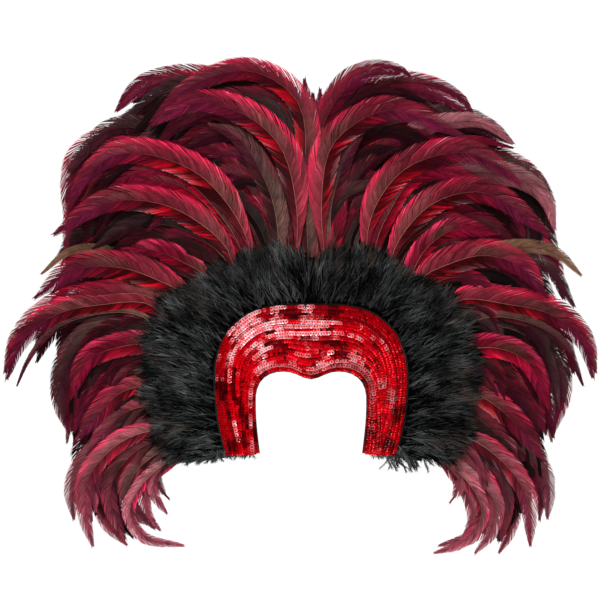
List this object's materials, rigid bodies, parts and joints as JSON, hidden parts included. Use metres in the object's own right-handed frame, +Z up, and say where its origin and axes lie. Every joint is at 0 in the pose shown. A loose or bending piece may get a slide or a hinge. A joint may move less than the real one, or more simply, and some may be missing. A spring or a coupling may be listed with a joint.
{
  "type": "carnival feather headdress",
  "caption": "Worn feather headdress: a padded red sequin arch round an open face hole, a thick black feather trim and a wide fan of curved burgundy rooster feathers.",
  "frame": {"origin": "where the flat rear face of the backing meets the middle of the wearer's forehead", "axes": "+X towards the viewer's right as seen from the front, +Y from the face towards the back of the head, +Z up"},
  "size_m": [0.798, 0.2285, 0.6736],
  "materials": {
    "backing_felt": "matte black felt over stiff board",
    "red_sequins": "overlapping glossy red cup sequins",
    "black_feather": "fluffy black feather fringe",
    "burgundy_feather": "satin dyed rooster feather",
    "crimson_feather": "satin dyed rooster feather",
    "magenta_feather": "satin dyed rooster feather",
    "olive_feather": "satin dyed rooster feather",
    "grey_feather": "satin dyed rooster feather",
    "tan_feather": "satin dyed rooster feather",
    "strap_elastic": "woven black elastic"
  },
  "bodies": {
    "root": {"backing_plate": "backing_felt", "sequin_band": "red_sequins", "black_trim": "black_feather", "elastic_strap": "strap_elastic", "coque_left_01": "burgundy_feather", "coque_left_02": "burgundy_feather", "coque_left_03": "burgundy_feather", "coque_left_04": "olive_feather", "coque_left_05": "grey_feather", "coque_left_06": "magenta_feather", "coque_left_07": "burgundy_feather", "coque_left_08": "grey_feather", "coque_left_09": "crimson_feather", "coque_left_10": "burgundy_feather", "coque_left_11": "burgundy_feather", "coque_left_12": "crimson_feather", "coque_left_13": "burgundy_feather", "coque_left_14": "burgundy_feather", "coque_left_15": "tan_feather", "coque_left_16": "burgundy_feather", "coque_left_17": "grey_feather", "coque_left_18": "tan_feather", "coque_left_19": "crimson_feather", "coque_left_20": "burgundy_feather", "coque_left_21": "burgundy_feather", "coque_left_22": "grey_feather", "coque_left_23": "burgundy_feather", "coque_left_24": "crimson_feather", "coque_left_25": "burgundy_feather", "coque_right_01": "burgundy_feather", "coque_right_02": "burgundy_feather", "coque_right_03": "burgundy_feather", "coque_right_04": "olive_feather", "coque_right_05": "grey_feather", "coque_right_06": "magenta_feather", "coque_right_07": "burgundy_feather", "coque_right_08": "grey_feather", "coque_right_09": "crimson_feather", "coque_right_10": "burgundy_feather", "coque_right_11": "grey_feather", "coque_right_12": "crimson_feather", "coque_right_13": "magenta_feather", "coque_right_14": "burgundy_feather", "coque_right_15": "grey_feather", "coque_right_16": "burgundy_feather", "coque_right_17": "grey_feather", "coque_right_18": "tan_feather", "coque_right_19": "crimson_feather", "coque_right_20": "burgundy_feather", "coque_right_21": "burgundy_feather", "coque_right_22": "grey_feather", "coque_right_23": "burgundy_feather", "coque_right_24": "crimson_feather", "coque_right_25": "burgundy_feather"}
  },
  "joints": []
}
